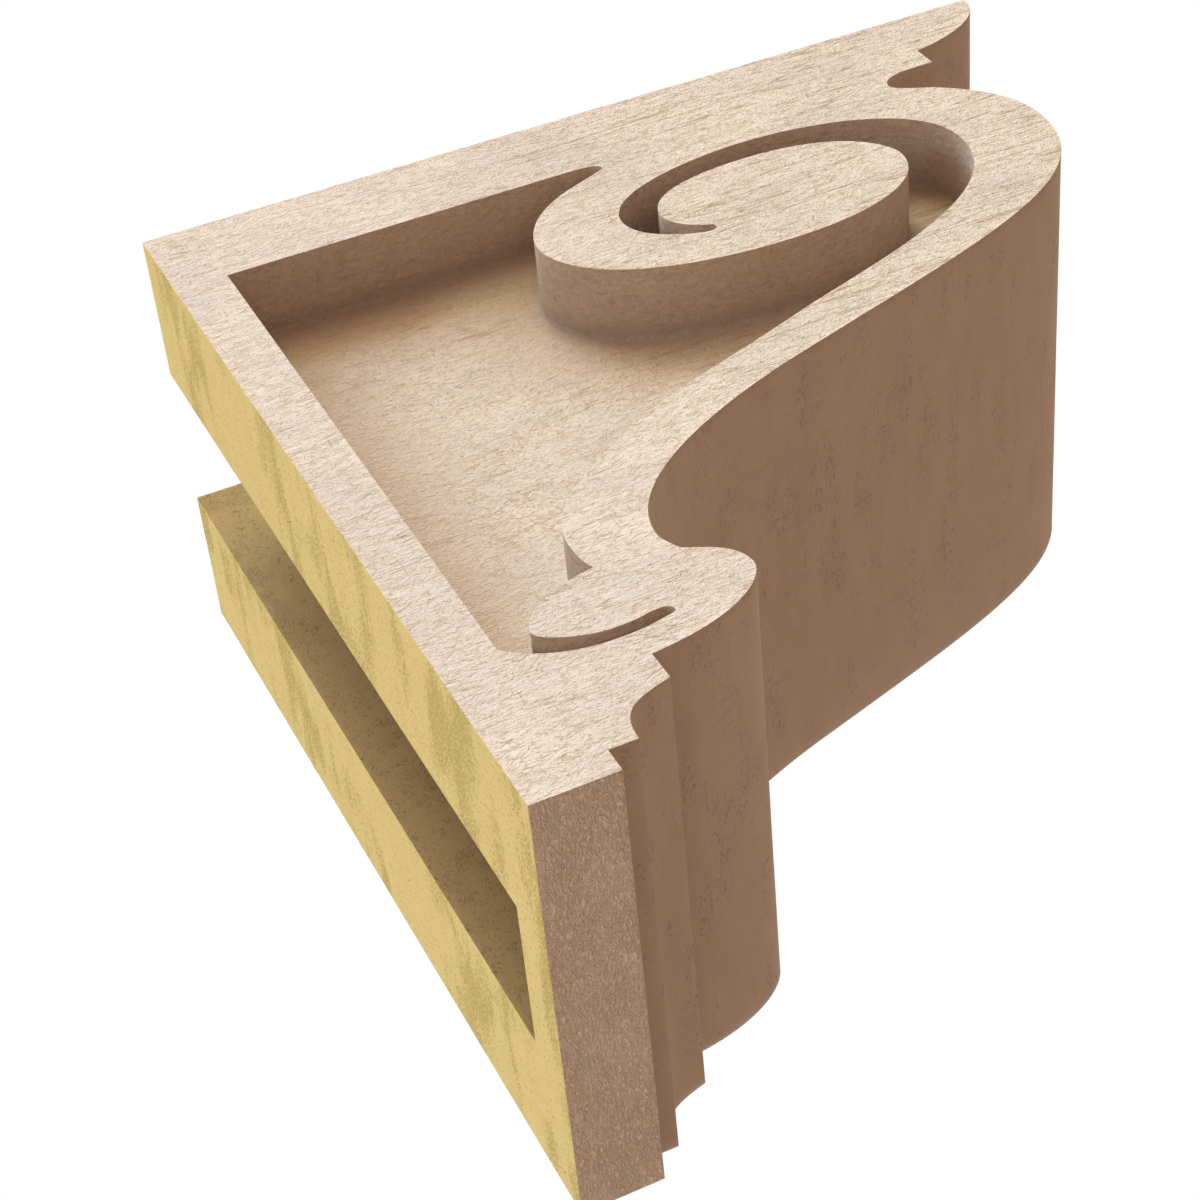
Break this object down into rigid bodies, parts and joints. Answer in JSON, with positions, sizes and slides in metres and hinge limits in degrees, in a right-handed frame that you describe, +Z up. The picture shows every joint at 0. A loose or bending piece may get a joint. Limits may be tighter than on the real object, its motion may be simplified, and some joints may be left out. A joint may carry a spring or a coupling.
{
  "type": "urethane corbel",
  "caption": "Scrolled wall corbel, cast in rigid foam with a rough-sawn timber finish, with sunk side panels and a hanging slot in its back, to look as if it carries a shelf, beam or hood.",
  "frame": {"origin": "on the back face, in the middle of the solid band under the hanging slot", "axes": "+Y out of the back face, towards the wall; -Y the way the corbel stands out; +Z up to the top face; +X along the width"},
  "size_m": [0.1524, 0.3048, 0.3048],
  "materials": {
    "foam": "primed tan foam skin with a rough-sawn grain, and bare yellow foam on the back and in the slot"
  },
  "bodies": {
    "root": {"corbel": "foam"}
  },
  "joints": []
}
